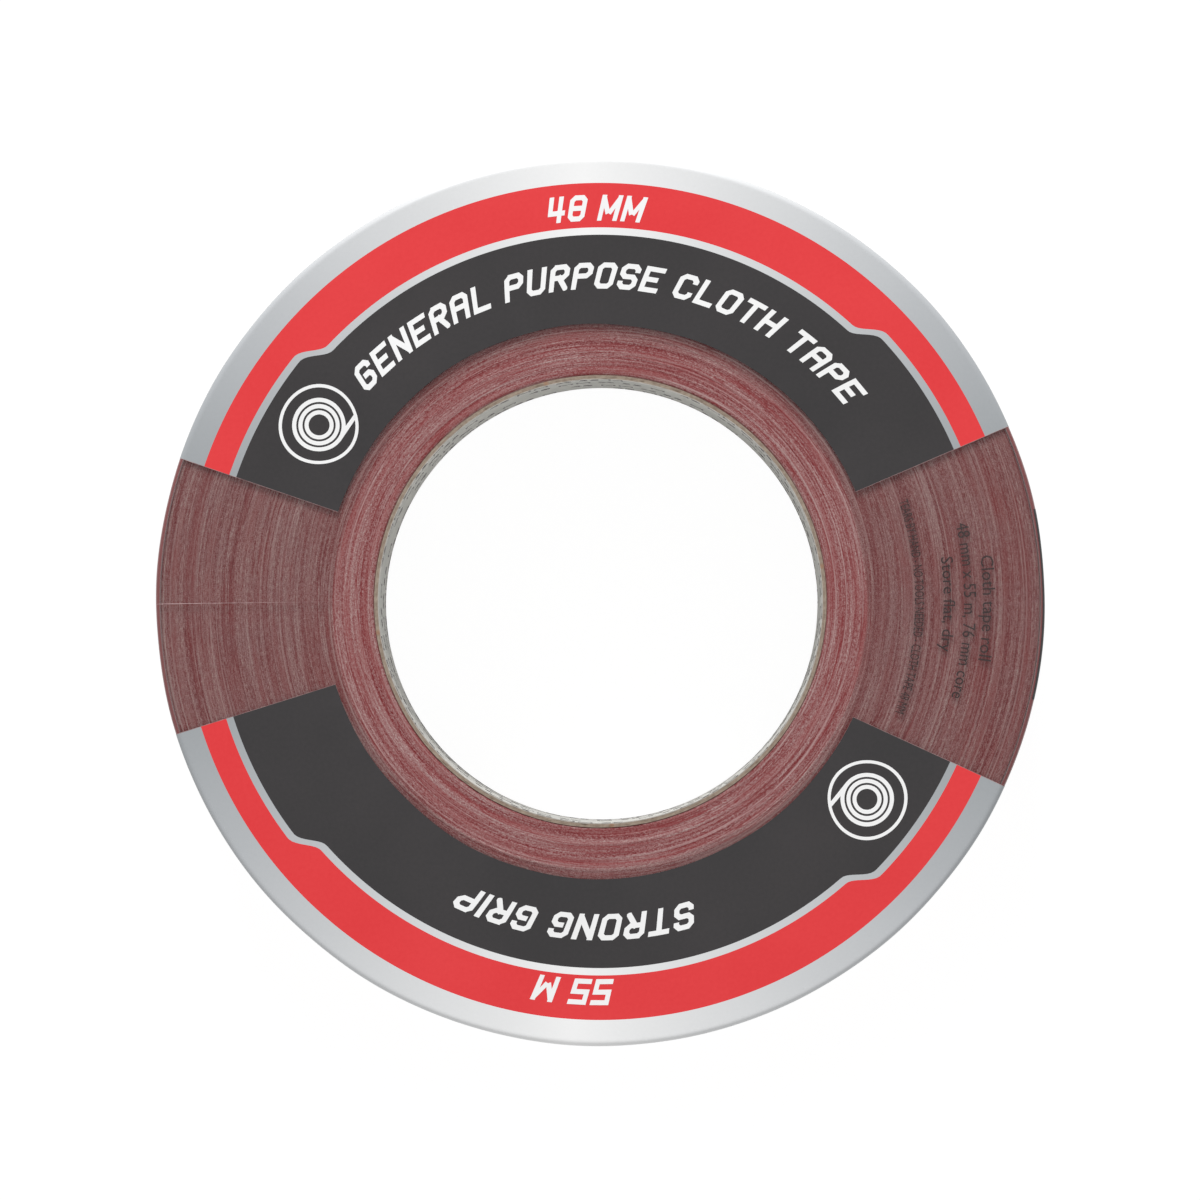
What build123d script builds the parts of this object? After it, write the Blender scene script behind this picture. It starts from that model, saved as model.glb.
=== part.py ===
from build123d import *

import os
from math import cos, radians, sin

# Duct tape roll: 48 mm cloth tape wound on a 3 inch paper core, closed in a printed shrink sleeve.
# Millimetres. The roll lies flat: +Z is its axis, and the origin is on that axis, on the surface it rests on.
# Angles are in degrees, anticlockwise from +X as seen from above.

# ---- core: a spiral-wound paper tube
bore_r = 38.1  # inside of the liner: a 3 inch core
liner_t = 0.15  # pale paper liner
kraft_t = 0.30  # each of the two brown plies

# ---- tape: a laminate of three layers, wound round the core
tape_width = 48.0
adhesive_t = 0.10
cloth_t = 0.07
backing_t = 0.075
turns = 151  # turns of tape on the core, with the last one
free_end_deg = 118.0  # where the outer end of the tape lies

# ---- shrink sleeve: clear film round the wall, folded over both faces
film_t = 0.20
face_gap = 0.45  # air between the faces of the tape and the film
wall_gap = 0.20  # slack between the last turn and the film, at its closest
fold_r = 0.70  # inside bend of the film round the edges of the roll
bare_ring_w = 7.1  # ring of tape that the sleeve leaves bare round the core
lap_deg = 180.6  # where the two ends of the film overlap
lap_w = 4.0
lap_t = 0.10  # film thickness of the end that lies underneath

# ---- print, flush with the outside of the film: two panels, and between them clear windows
print_t = 0.10
panel_span_deg = 138.0
panel_centre_deg = {"upper": 92.2, "lower": 266.4}
clear_lip_w = 1.7  # clear film between the print and the shrunk edge of the sleeve
silver_w = 4.5  # silver border on a face, from the outside of the roll inwards
red_w = 7.65  # red band
line_w = 1.25  # thin silver line inside the red band
step_h = 3.1  # rise of the red band's inner edge near the ends of a panel
step_start_deg = 44.0  # from the panel's centre: where that rise starts
step_end_deg = 49.5  # and where it ends
wall_silver_w = 5.0  # silver border on the wall, from each face
wall_stripe_w = 4.5  # red stripe on the wall

# ---- black information panel on the wall, in the right-hand window
info_centre_deg = -0.4
info_span_deg = 24.8
info_margin = 1.5  # from each face of the roll

# ---- what follows from them
core_r = bore_r + liner_t + 2 * kraft_t
tape_t = adhesive_t + cloth_t + backing_t
wound_r = core_r + turns * tape_t  # mean outside radius of the tape
base_r = wound_r - 1.5 * tape_t  # where the last turn starts, at its own smallest radius
film_r = wound_r + tape_t / 2 + wall_gap  # inside of the film on the wall
roll_r = film_r + film_t
lip_r = core_r + bare_ring_w
panel_in_r = lip_r + clear_lip_w
silver_in_r = roll_r - silver_w
red_in_r = silver_in_r - red_w
line_in_r = red_in_r - line_w
print_rise = film_t - print_t  # from the inside of the film to the inside of the print
tape_z = film_t + face_gap  # lower face of the tape and the core
roll_h = tape_width + 2 * tape_z
mid_z = roll_h / 2
half_span_deg = panel_span_deg / 2
full_turn_deg = 360.0
half_turn_deg = full_turn_deg / 2


def polar(r, deg):
    return Vector(r * cos(radians(deg)), r * sin(radians(deg)))


def arc(r, deg_from, deg_to, centre=Vector(0, 0)):
    """An arc of radius r round centre, from one angle to another."""
    degs = (deg_from, (deg_from + deg_to) / 2, deg_to)
    return ThreePointArc(*[centre + polar(r, deg) for deg in degs])


def closed_face(edges):
    """The face inside a chain of edges that close on each other."""
    return make_face(Wire(edges))


def tube(r_in, r_out):
    """A ply of the core: a plain tube as long as the tape is wide."""
    ring = Circle(r_out) - Circle(r_in)
    return Pos(0, 0, tape_z) * extrude(ring, tape_width)


def turn_edge(depth):
    """One turn of a spiral that gains tape_t, depth above the wound tape: two half circles whose centres
    lie half a tape thickness apart, so that they meet smoothly."""
    shift = Vector(tape_t / 4, 0)
    first = arc(base_r + tape_t / 4 + depth, 0, half_turn_deg, -1 * shift)
    second = arc(base_r + 3 * tape_t / 4 + depth, half_turn_deg, full_turn_deg, shift)
    return first, second


def tape_solid(face):
    """A cross-section of tape, turned to the free end and made as wide as the tape."""
    return Pos(0, 0, tape_z) * Rot(0, 0, free_end_deg) * extrude(face, tape_width)


def winding():
    """Every turn but the last. Its outside is one turn of the spiral, with a step of one thickness."""
    first, second = turn_edge(0)
    step = Line(second @ 1, first @ 0)
    return tape_solid(closed_face([first, second, step]) - Circle(core_r))


def last_turn_layer(depth_in, depth_out):
    """One layer of the last turn, between two depths above the winding."""
    inner = turn_edge(depth_in)
    outer = turn_edge(depth_out)
    free_end = Line(inner[1] @ 1, outer[1] @ 1)
    start = Line(inner[0] @ 0, outer[0] @ 0)
    return tape_solid(closed_face([*inner, free_end, *outer, start]))


def folded_path(face_r, wall_z, rise):
    """The line of the film's inside, raised by rise: along the upper face from face_r outwards, round the
    fold, and down the wall to wall_z."""
    fold_centre = Vector(film_r - fold_r, roll_h - film_t - fold_r)
    bend_r = fold_r + rise
    bend = arc(bend_r, 90, 0, fold_centre)
    along_face = Line(Vector(face_r, fold_centre.Y + bend_r), bend @ 0)
    down_wall = Line(bend @ 1, Vector(fold_centre.X + bend_r, wall_z))
    return along_face, bend, down_wall


def turned(face, span_deg, centre_deg):
    """A section in radius and height, swept round the axis through span_deg about centre_deg."""
    solid = revolve(Plane.XZ * face, Axis.Z, span_deg)
    return Rot(0, 0, centre_deg - span_deg / 2) * solid


def folded_strip(face_r, wall_z, rise_in, rise_out, span_deg, centre_deg):
    """A layer that lies on the upper face, folds over the edge and runs down the wall."""
    inner = folded_path(face_r, wall_z, rise_in)
    outer = folded_path(face_r, wall_z, rise_out)
    face_end = Line(inner[0] @ 0, outer[0] @ 0)
    wall_end = Line(inner[2] @ 1, outer[2] @ 1)
    return turned(closed_face([*inner, wall_end, *outer, face_end]), span_deg, centre_deg)


def mirrored(solid):
    """The same solid on the lower face."""
    return mirror(solid, Plane.XY.offset(mid_z))


def both_faces(solid):
    """A folded strip that ends at mid height, joined to its mirror image into one C-shaped band."""
    return solid + mirrored(solid)


def sleeve(printed):
    """The clear film, with one end lying under the other at the seam, and room for the printed areas."""
    film = both_faces(folded_strip(lip_r, mid_z, 0, film_t, full_turn_deg, 0))
    lap_span_deg = lap_w / radians(1) / film_r
    under_lap = both_faces(folded_strip(lip_r, mid_z, -lap_t, 0, lap_span_deg, lap_deg))
    return film + under_lap - printed


def plain_edge(r):
    """The edge of a print area at one radius, over a panel's whole span."""
    return [arc(r, -half_span_deg, half_span_deg)]


def stepped_edge(r):
    """The same, but near both ends of the panel it rises to a radius larger by step_h."""
    high_r = r + step_h
    left_end = arc(high_r, -half_span_deg, -step_end_deg)
    middle = arc(r, -step_start_deg, step_start_deg)
    right_end = arc(high_r, step_end_deg, half_span_deg)
    left_slant = Line(left_end @ 1, middle @ 0)
    right_slant = Line(middle @ 1, right_end @ 0)
    return [left_end, left_slant, middle, right_slant, right_end]


def face_area(outer, inner, centre_deg):
    """A flat print area on the upper face, between two edges of the print."""
    ends = [Line(outer[0] @ 0, inner[0] @ 0), Line(outer[-1] @ 1, inner[-1] @ 1)]
    area = extrude(closed_face([*outer, *inner, *ends]), print_t)
    return Pos(0, 0, roll_h - print_t) * Rot(0, 0, centre_deg) * area


def wall_area(z_low, z_high, span_deg, centre_deg):
    """A print area on the wall, between two heights."""
    section = Pos(roll_r - print_t, z_low) * Rectangle(print_t, z_high - z_low, align=Align.MIN)
    return turned(section, span_deg, centre_deg)


def panel_print(centre_deg):
    """The print areas of one panel, by name."""
    silver_end_z = roll_h - wall_silver_w
    stripe_end_z = silver_end_z - wall_stripe_w
    front = {
        "silver_border": folded_strip(
            silver_in_r, silver_end_z, print_rise, film_t, panel_span_deg, centre_deg
        ),
        "red_band": face_area(plain_edge(silver_in_r), stepped_edge(red_in_r), centre_deg),
        "silver_line": face_area(stepped_edge(red_in_r), stepped_edge(line_in_r), centre_deg),
        "black_field": face_area(stepped_edge(line_in_r), plain_edge(panel_in_r), centre_deg),
        "wall_stripe": wall_area(stripe_end_z, silver_end_z, panel_span_deg, centre_deg),
    }
    areas = {f"front_{name}": solid for name, solid in front.items()}
    areas |= {f"back_{name}": mirrored(solid) for name, solid in front.items()}
    areas["wall_black_field"] = wall_area(roll_h - stripe_end_z, stripe_end_z, panel_span_deg, centre_deg)
    return areas


def all_print():
    """Every printed area of the sleeve, by node name."""
    info_panel = wall_area(info_margin, roll_h - info_margin, info_span_deg, info_centre_deg)
    areas = {"info_panel": info_panel}
    for panel, centre_deg in panel_centre_deg.items():
        areas |= {f"{panel}_{name}": solid for name, solid in panel_print(centre_deg).items()}
    return areas


def core():
    """The three plies of the core, from the bore outwards."""
    liner_r = bore_r + liner_t
    return {
        "core_liner": tube(bore_r, liner_r),
        "core_inner_ply": tube(liner_r, liner_r + kraft_t),
        "core_outer_ply": tube(liner_r + kraft_t, core_r),
    }


def tape():
    """The wound tape, and the three layers of its last turn."""
    backing_depth = adhesive_t + cloth_t
    return {
        "tape_winding": winding(),
        "last_turn_adhesive": last_turn_layer(0, adhesive_t),
        "last_turn_cloth": last_turn_layer(adhesive_t, backing_depth),
        "last_turn_backing": last_turn_layer(backing_depth, tape_t),
    }


printed_areas = all_print()
nodes = {**core(), **tape(), "sleeve_film": sleeve(list(printed_areas.values())), **printed_areas}
os.makedirs("parts", exist_ok=True)
for name, solid in nodes.items():
    export_step(solid, f"parts/{name}.step")
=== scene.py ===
from math import pi, radians
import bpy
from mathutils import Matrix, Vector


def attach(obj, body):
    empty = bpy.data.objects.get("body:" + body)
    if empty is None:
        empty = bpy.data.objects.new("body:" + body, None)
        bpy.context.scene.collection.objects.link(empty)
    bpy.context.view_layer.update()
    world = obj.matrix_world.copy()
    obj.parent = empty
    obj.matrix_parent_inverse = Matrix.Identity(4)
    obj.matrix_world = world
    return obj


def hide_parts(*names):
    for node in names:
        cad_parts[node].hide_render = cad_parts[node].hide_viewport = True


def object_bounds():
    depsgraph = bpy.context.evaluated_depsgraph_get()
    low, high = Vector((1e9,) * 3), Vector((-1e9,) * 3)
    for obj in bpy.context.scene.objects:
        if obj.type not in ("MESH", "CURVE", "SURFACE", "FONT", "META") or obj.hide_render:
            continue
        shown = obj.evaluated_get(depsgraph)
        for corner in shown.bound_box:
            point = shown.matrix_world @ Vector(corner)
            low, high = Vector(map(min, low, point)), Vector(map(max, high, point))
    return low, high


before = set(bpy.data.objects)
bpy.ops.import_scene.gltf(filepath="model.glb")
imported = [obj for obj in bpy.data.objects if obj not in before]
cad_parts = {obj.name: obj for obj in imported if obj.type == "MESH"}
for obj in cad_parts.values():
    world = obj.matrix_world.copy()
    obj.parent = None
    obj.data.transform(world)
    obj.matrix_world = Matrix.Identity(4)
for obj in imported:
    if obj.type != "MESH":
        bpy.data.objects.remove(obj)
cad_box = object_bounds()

from types import SimpleNamespace

import bmesh
import bpy
import numpy as np
from mathutils import Matrix, Vector
from mathutils.geometry import delaunay_2d_cdt

# Duct tape roll: cloth tape wound on a paper core, closed in a clear shrink sleeve with two printed panels.
# Metres. Angles are in degrees, anticlockwise from +X as seen from above, unless a name says otherwise.

MM = 0.001
FULL_TURN = 2 * pi

# ---- sizes that the looks add to the frame
FILM_T = 0.20 * MM  # clear film, as deep as its print areas reach
INK_T = 0.03 * MM  # how far ink stands above the clear film
FOLD_R = 0.70 * MM  # inside bend of the film at the edges of the roll
LETTER_T = 0.03 * MM  # lettering stands this far above the ink
RIPPLE_H = 0.035 * MM  # unevenness of the shrunk film
PUCKER_H = 0.07 * MM  # gathers at the shrunk edge of the film
PUCKER_REACH = 2.2 * MM  # how far the gathers run out from that edge
LIP_WANDER = 0.12 * MM  # how far the shrunk edge strays from a true circle
SETTLE = 0.145 * MM  # how far the lower face is pressed in, so that its highest ripple just rests
TAPE_PITCH = 0.245 * MM  # from one turn of tape to the next
RELIEF_H = 0.035 * MM  # how proud a turn of tape typically stands in the faces
CREASE_W = 0.22 * MM  # width of the crease between the tape and the core, whose darkness in the tape's colour is painted shade
CREASE_DEPTH = 0.20 * MM
SEAM_DEG = 180.6  # where the film's two ends are welded
SEAM_TILT_DEG = -0.5  # how far the weld strays on its way from the wall to the shrunk edge
SEAM_W = 0.15 * MM
SEAM_H = 0.03 * MM
PANEL_END_W = 0.08 * MM  # painted highlight: a thin pale line at the cut ends of a printed panel
PANEL_END_H = 0.01 * MM
LINER_HELIX_RISE = 118 * MM  # climb of the liner's joint in one turn

# ---- how finely surfaces are divided
ROUND_COLUMNS = 480  # round a full turn of the core or the sleeve
CORE_ROWS = 40
TAPE_RINGS = 302
TAPE_COLUMNS = 160
WALL_ROWS = 9  # of the sleeve: from mid height up to the fold
FOLD_ROWS = 9
FACE_ROWS = 22
EDGE_ROWS = 6  # in the gathers at the shrunk edge
PRINT_COLUMN_DEG = 0.5
PRINT_ROW_STEP = 0.25 * MM
SHARP_DEG = 38  # edges that turn further than this stay sharp
SEED = 48


# ==== places, read from the frame ====


def about_axis(node):
    """Radii, heights and angles that a CAD node spans about the roll's axis."""
    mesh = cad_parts[node].data
    points = np.empty(len(mesh.vertices) * 3)
    mesh.vertices.foreach_get("co", points)
    x, y, z = points.reshape(-1, 3).T
    r = np.hypot(x, y)
    middle = np.arctan2(y.mean(), x.mean())
    turned = np.degrees(np.angle(np.exp(1j * (np.arctan2(y, x) - middle))))
    start, end = np.degrees(middle) + turned.min(), np.degrees(middle) + turned.max()
    return SimpleNamespace(
        r_in=r.min(), r_out=r.max(), z_low=z.min(), z_high=z.max(), deg_from=start, deg_to=end
    )


roll_r = cad_box[1].x
roll_h = cad_box[1].z
mid_z = roll_h / 2
liner = about_axis("core_liner")
inner_ply = about_axis("core_inner_ply")
outer_ply = about_axis("core_outer_ply")
winding = about_axis("tape_winding")
backing = about_axis("last_turn_backing")
sleeve = about_axis("sleeve_film")
info = about_axis("info_panel")

film_r = roll_r - FILM_T
fold_centre_r = film_r - FOLD_R
half_wall = mid_z - FILM_T - FOLD_R
bend_r = FOLD_R + FILM_T
bend_length = bend_r * pi / 2
lip_station = half_wall + bend_length + fold_centre_r - sleeve.r_in


# ==== meshes from grids of points ====


def piece(mesh, material, slot, *nodes):
    """Links a finished mesh as a piece of the roll, with its finish, in place of CAD nodes."""
    made = bpy.data.objects.new(mesh.name, mesh)
    bpy.context.scene.collection.objects.link(made)
    mesh.materials.append(material)
    mesh.set_sharp_from_angle(angle=radians(SHARP_DEG))
    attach(made, "root")
    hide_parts(*nodes)


def loop_mesh(name, points, ring):
    """A closed skin over a grid of points, rows by columns by 3. Each column is a closed loop round the
    section: its first half runs along the outside, and its second half runs back along the inside. The
    columns follow each other along the angle, and close on each other in a ring; otherwise the first and
    last loops are closed by caps, each of quads between a row and its opposite row."""
    rows, columns = points.shape[:2]
    index = np.arange(rows * columns).reshape(rows, columns)
    above = np.roll(index, -1, axis=0)
    quads = np.stack([index, np.roll(index, -1, axis=1), np.roll(above, -1, axis=1), above], axis=-1)
    if not ring:
        quads = quads[:, :-1]
    faces = [quads.reshape(-1, 4)]
    if not ring:
        half = rows // 2
        near, far = index[:half], index[::-1][:half]
        caps = np.stack([near[:-1], near[1:], far[1:], far[:-1]], axis=-1)
        faces += [caps[:, 0], caps[:, -1, ::-1]]
    mesh = bpy.data.meshes.new(name)
    mesh.from_pydata(points.reshape(-1, 3).tolist(), [], np.concatenate(faces).tolist())
    mesh.polygons.foreach_set("use_smooth", np.ones(len(mesh.polygons), bool))
    mesh.update()
    return mesh


def cylindrical(r, angle, z):
    """Points from radius, angle in radians and height, as one array."""
    r, angle, z = np.broadcast_arrays(r, angle, z)
    return np.stack([r * np.cos(angle), r * np.sin(angle), z], axis=-1)


def waves(rng, count, turns_low, turns_high, step_low, step_high):
    """Random waves for a surface that closes on itself: whole waves per turn, phase per metre along the
    section, and a start phase."""
    per_turn = rng.integers(turns_low, turns_high, count)
    per_metre = rng.uniform(step_low, step_high, count) * rng.choice([-1, 1], count)
    return per_turn, per_metre, rng.uniform(0, FULL_TURN, count)


def wave_sum(shape, station, angle):
    """The sum of cos(waves * angle + steepness * station + phase) over some waves, times the root of two
    over their number, which gives it a spread of one."""
    station, angle = np.broadcast_arrays(station, angle)
    total = np.zeros(angle.shape)
    for per_turn, per_metre, phase in zip(*shape):
        total += np.cos(per_turn * angle + per_metre * station + phase)
    return total * np.sqrt(2 / len(shape[0]))


# ==== the sleeve's surface ====

# How many waves, then the least and most whole waves per turn, and the least and most phase per metre.
film_rng = np.random.default_rng(SEED)
film_ripples = waves(film_rng, 14, 2, 26, 60, 420)
lip_puckers = waves(film_rng, 9, 28, 74, 0, 60)
lip_wander = waves(film_rng, 7, 2, 19, 0, 1)


def station_of_radius(r):
    """How far along the film a radius on the upper face lies, from mid height on the wall."""
    return half_wall + bend_length + fold_centre_r - r


def station_of_height(z):
    """How far along the film a height on the wall lies, from mid height."""
    return z - mid_z


def film_point(station, angle, rise):
    """A point on the film. Station runs along the film's section, up the wall from mid height, round the
    fold and inwards on the upper face; negative stations are the same on the lower face. Rise is from the
    inside of the film. The surface swells and sinks by a sum of random waves, and gathers at its edge by
    shorter waves that die out exponentially. The lower face is pressed in by the sine of the bend."""
    station, angle, rise = np.broadcast_arrays(station, angle, rise)
    side = np.where(station < 0, -1.0, 1.0)
    along = np.abs(station)
    from_lip = np.maximum(lip_station - along, 0)
    gather = PUCKER_H * np.exp(-from_lip / PUCKER_REACH) * wave_sum(lip_puckers, station, angle)
    lift = rise + RIPPLE_H * wave_sum(film_ripples, station, angle) + gather
    bend = np.clip((along - half_wall) / bend_r, 0, pi / 2)
    lift = lift - np.where(side < 0, SETTLE, 0) * np.sin(bend)
    inwards = np.maximum(along - half_wall - bend_length, 0)
    edge_share = np.exp(-from_lip / PUCKER_REACH)
    stray = LIP_WANDER * edge_share * wave_sum(lip_wander, 0, angle)
    r = fold_centre_r + (FOLD_R + lift) * np.cos(bend) - inwards + stray
    z = mid_z + side * (np.minimum(along, half_wall) + (FOLD_R + lift) * np.sin(bend))
    return cylindrical(r, angle, z)


def film_layer(name, stations, angles, rise_in, rise_out, ring=False):
    """A closed skin between two rises above the film's inside, over stations (rows) and angles (columns)."""
    outside = film_point(stations, angles, rise_out)
    inside = film_point(stations, angles, rise_in)
    return loop_mesh(name, np.concatenate([outside, inside[::-1]]), ring)


def film_stations():
    """Stations along the whole film, from its lower edge to its upper edge, closer together in the folds."""
    wall = np.linspace(0, half_wall, WALL_ROWS)[1:-1]
    fold = np.linspace(half_wall, half_wall + bend_length, FOLD_ROWS)
    face = np.linspace(half_wall + bend_length, lip_station - PUCKER_REACH, FACE_ROWS)[1:]
    edge = np.linspace(lip_station - PUCKER_REACH, lip_station, EDGE_ROWS)[1:]
    upper = np.concatenate([wall, fold, face, edge])
    return np.concatenate([-upper[::-1], [0], upper])


# ==== finishes ====

# The tape's cut edges: streaks along the turns, each with its length in degrees, its width across the
# turns, a random offset and its detail.
BROAD_STREAKS = (55, 1.1 * MM, 3.0, 2.0)
FINE_STREAKS = (20, 0.21 * MM, 11.0, 1.0)
GRAIN_STREAKS = (0.7, 0.17 * MM, 23.0, 2.0)
PATCH_STREAKS = (26, 1.3 * MM, 71.0, 4.0)
PALE_STREAKS = (70, 0.36 * MM, 51.0, 0.0)
LINE_STREAKS = (40, 0.85 * MM, 37.0, 1.0)
SPECKS_PER_M = 4600.0
PROUD_MIDDLE = 0.47  # share of the edges' colour ramp for a turn that stands as high as the rest
PROUD_SPREAD = 0.085
WEAVE_LENGTHWISE = 0.55 * MM  # the cloth's threads, which show through the backing
WEAVE_CROSSWISE = 1.1 * MM
RIM_TICKS_DEG = (9, 104, 188, 273)  # glue that has seeped out of the core's plies
RIM_TICK_HALF_DEG = 0.8
LINER_RIM = (0.12 * MM, 0.04 * MM)  # the liner turns to the board's colour between these depths
FILM_TINT = (0.965, 0.955, 0.950, 1.0)
FILM_HAZE = (0.015, 0.045)  # least and most share of light that the film's haze holds back
FOLD_COVER = 0.9  # the same share in the folds
FOLD_INSET = 0.2 * MM  # how far inside the tape's outer radius the folds' colour is full
SILVER_SHEEN_STOPS = (  # share of the way from a panel's centre to its ends, and screen colour of the painted reflection
    (0.0, (248, 248, 248)),
    (0.25, (227, 228, 229)),
    (0.5, (206, 208, 210)),
    (0.75, (184, 187, 190)),
    (1.0, (163, 167, 170)),
)


def srgb(red, green, blue):
    """A linear colour from 8-bit screen values."""
    share = np.array([red, green, blue]) / 255
    linear = np.where(share <= 0.04045, share / 12.92, ((share + 0.055) / 1.055) ** 2.4)
    return (*linear.tolist(), 1.0)


def add(tree, kind, inputs, **settings):
    """Adds a node with its settings, and fills its inputs with values or with links."""
    made = tree.nodes.new(kind)
    for key, value in settings.items():
        setattr(made, key, value)
    for key, value in inputs.items():
        if isinstance(value, bpy.types.NodeSocket):
            tree.links.new(value, made.inputs[key])
        else:
            made.inputs[key].default_value = value
    return made


def calc(tree, operation, *values):
    """One step of arithmetic, as a socket."""
    return add(tree, "ShaderNodeMath", dict(enumerate(values)), operation=operation).outputs[0]


def new_material(name):
    """An empty material, its node tree, and its output node."""
    material = bpy.data.materials.new(name)
    material.use_nodes = True
    tree = material.node_tree
    tree.nodes.clear()
    output = tree.nodes.new("ShaderNodeOutputMaterial")
    return material, tree, output


def place(tree):
    """The point on the piece, in the roll's own frame."""
    return add(tree, "ShaderNodeTexCoord", {}).outputs["Object"]


def polar(tree):
    """Radius, outward direction and height of a point about the roll's axis."""
    parts = add(tree, "ShaderNodeSeparateXYZ", {0: place(tree)})
    flat = add(tree, "ShaderNodeCombineXYZ", {0: parts.outputs[0], 1: parts.outputs[1]}).outputs[0]
    radius = add(tree, "ShaderNodeVectorMath", {0: flat}, operation="LENGTH").outputs["Value"]
    outward = add(tree, "ShaderNodeVectorMath", {0: flat}, operation="NORMALIZE").outputs[0]
    return SimpleNamespace(
        x=parts.outputs[0], y=parts.outputs[1], z=parts.outputs[2], r=radius, outward=outward
    )


def noise(tree, vector, scale, detail=3.0, roughness=0.5):
    """Soft random values about one half, with a scale in waves per metre."""
    inputs = {"Vector": vector, "Scale": scale, "Detail": detail, "Roughness": roughness}
    return add(tree, "ShaderNodeTexNoise", inputs).outputs[0]


def streaks(tree, at, length_deg, width, offset, detail):
    """Noise drawn out along the turns: each streak is about length_deg long and width across."""
    round_turns = 1 / radians(length_deg)
    ring = add(tree, "ShaderNodeVectorMath", {0: at.outward, "Scale": round_turns}, operation="SCALE")
    across = calc(tree, "MULTIPLY_ADD", at.r, 1 / width, offset)
    lift = add(tree, "ShaderNodeCombineXYZ", {2: across}).outputs[0]
    vector = add(tree, "ShaderNodeVectorMath", {0: ring.outputs[0], 1: lift}, operation="ADD").outputs[0]
    return noise(tree, vector, 1.0, detail)


def ramp(tree, value, *stops):
    """A colour ramp, from pairs of position and colour."""
    made = add(tree, "ShaderNodeValToRGB", {0: value})
    elements = made.color_ramp.elements
    while len(elements) < len(stops):
        elements.new(0.5)
    for element, (position, colour) in zip(elements, stops):
        element.position = position
        element.color = colour
    return made.outputs[0]


def remap(tree, value, low, high, to_low=0.0, to_high=1.0):
    """A value carried from one range to another, and held at its ends."""
    inputs = {0: value, 1: low, 2: high, 3: to_low, 4: to_high}
    return add(tree, "ShaderNodeMapRange", inputs).outputs[0]


def weighed(tree, value, weight, level):
    """A level raised or lowered by a random value about one half, times a weight."""
    return calc(tree, "MULTIPLY_ADD", calc(tree, "SUBTRACT", value, 0.5), weight, level)


def blend(tree, share, first, second):
    """Two colours mixed, with a share of the second."""
    return add(tree, "ShaderNodeMix", {0: share, 6: first, 7: second}, data_type="RGBA").outputs[2]


def bump(tree, height, distance, strength):
    """The surface's direction, tilted as if it stood higher where height is larger."""
    inputs = {"Height": height, "Distance": distance, "Strength": strength}
    return add(tree, "ShaderNodeBump", inputs).outputs[0]


def solid_skin(tree, output, colour, roughness, shine=0.5, **relief):
    """A plain opaque surface, with Normal=... where it has relief. Its roughness and shine are constants."""
    inputs = {"Base Color": colour, "Roughness": roughness, "Specular IOR Level": shine, **relief}
    shader = add(tree, "ShaderNodeBsdfPrincipled", inputs)
    tree.links.new(shader.outputs[0], output.inputs[0])


def towards(tree, at, deg):
    """How closely a point's outward direction agrees with an angle: the cosine of the angle between them."""
    aim = (np.cos(radians(deg)), np.sin(radians(deg)), 0.0)
    made = add(tree, "ShaderNodeVectorMath", {0: at.outward, 1: aim}, operation="DOT_PRODUCT")
    return made.outputs["Value"]


def turns_about(tree, at):
    """The angle of a point about the axis, in turns."""
    return calc(tree, "DIVIDE", calc(tree, "ARCTAN2", at.y, at.x), FULL_TURN)


def height_from_middle(tree, at):
    """How far above or below the middle of the roll a point lies."""
    return calc(tree, "ABSOLUTE", calc(tree, "SUBTRACT", at.z, mid_z))


def tape_edge_finish():
    """The cut edges of all the turns: dull red adhesive and greyer cloth, in streaks along the turns, with
    red patches, pale lines, thin dark lines where broad streaks change over, a fine grain, and painted shade
    in the crease beside the core."""
    material, tree, output = new_material("tape_edges")
    at = polar(tree)
    proud = add(tree, "ShaderNodeAttribute", {}, attribute_name="proud").outputs["Fac"]
    grain = streaks(tree, at, *GRAIN_STREAKS)
    level = weighed(tree, streaks(tree, at, *BROAD_STREAKS), 0.5, proud)
    level = weighed(tree, streaks(tree, at, *FINE_STREAKS), 0.9, level)
    level = weighed(tree, grain, 1.25, level)
    level = weighed(tree, noise(tree, place(tree), SPECKS_PER_M, 1.0), 1.0, level)
    colour = ramp(
        tree,
        level,
        (0.0, srgb(112, 36, 39)),
        (0.28, srgb(134, 74, 75)),
        (0.55, srgb(153, 110, 109)),
        (0.80, srgb(168, 134, 132)),
        (1.0, srgb(184, 158, 155)),
    )
    on_patch = remap(tree, streaks(tree, at, *PATCH_STREAKS), 0.47, 0.66, 0.0, 0.5)
    colour = blend(tree, on_patch, colour, srgb(138, 62, 63))
    on_pale = remap(tree, streaks(tree, at, *PALE_STREAKS), 0.62, 0.78, 0.0, 0.6)
    colour = blend(tree, on_pale, colour, srgb(182, 152, 150))
    from_change = calc(tree, "ABSOLUTE", calc(tree, "SUBTRACT", streaks(tree, at, *LINE_STREAKS), 0.5))
    on_line = remap(tree, from_change, 0.003, 0.018, 0.7, 0.0)
    colour = blend(tree, on_line, colour, srgb(122, 36, 40))
    # Painted shade: the tape's colour darkens to brown in the crease beside the core.
    crease_shade = remap(tree, at.r, winding.r_in, winding.r_in + CREASE_W, 0.85, 0.0)
    colour = blend(tree, crease_shade, colour, srgb(92, 66, 60))
    wound = calc(tree, "SUBTRACT", calc(tree, "DIVIDE", at.r, TAPE_PITCH), turns_about(tree, at))
    height = calc(tree, "ADD", grain, calc(tree, "PINGPONG", wound, 0.5))
    solid_skin(tree, output, colour, 0.72, 0.25, Normal=bump(tree, height, 0.03 * MM, 0.5))
    return material


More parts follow.
